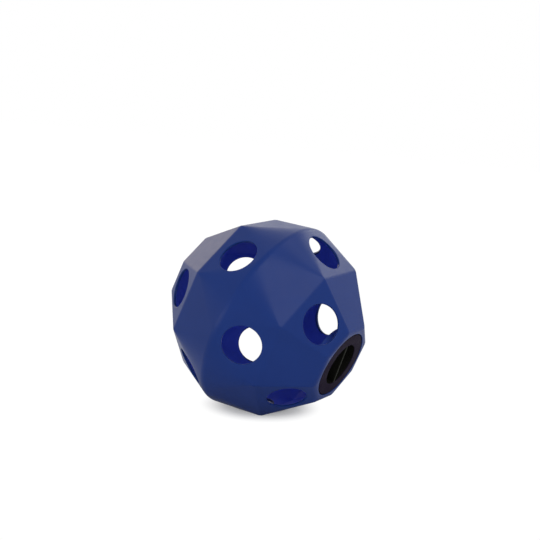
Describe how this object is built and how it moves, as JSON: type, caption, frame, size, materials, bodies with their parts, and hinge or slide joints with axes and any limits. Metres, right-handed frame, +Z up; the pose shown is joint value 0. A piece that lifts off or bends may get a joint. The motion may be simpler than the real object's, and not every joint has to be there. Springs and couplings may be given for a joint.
{
  "type": "hay ball feeder",
  "caption": "Hollow faceted plastic ball with round feeding holes all over and a screw-in filling stopper; a horse rolls it and pulls hay out through the holes.",
  "frame": {"origin": "on the floor, under the middle of the box of the ball as it rests on a skirt facet", "axes": "+Z up, away from the rest facet; +X towards the stopper's side, whose axis dips below the horizontal; Y across the ball's plane of symmetry"},
  "size_m": [0.3968, 0.3996, 0.3711],
  "materials": {
    "blue_shell": "satin rotomoulded polyethylene, navy blue",
    "black_stopper": "satin moulded plastic, black",
    "seal_rubber": "matt black rubber"
  },
  "bodies": {
    "ball": {"ball_shell": "blue_shell"},
    "seal": {"stopper_seal": "seal_rubber"},
    "stopper": {"stopper": "black_stopper"}
  },
  "joints": [
    {"name": "stopper_lift", "type": "slide", "parent": "ball", "child": "seal", "axis": [0.9208, 0, -0.3899], "range_m": [0, 0.045]},
    {"name": "stopper_turn", "type": "hinge", "parent": "seal", "child": "stopper", "pos_m": [0.15977, 0, 0.11789], "axis": [0.9208, 0, -0.3899], "range_deg": [0, 1800]}
  ],
  "couplings": [
    {"joint": "stopper_lift", "follows": "stopper_turn", "m_per_rad": 0.0014324}
  ]
}
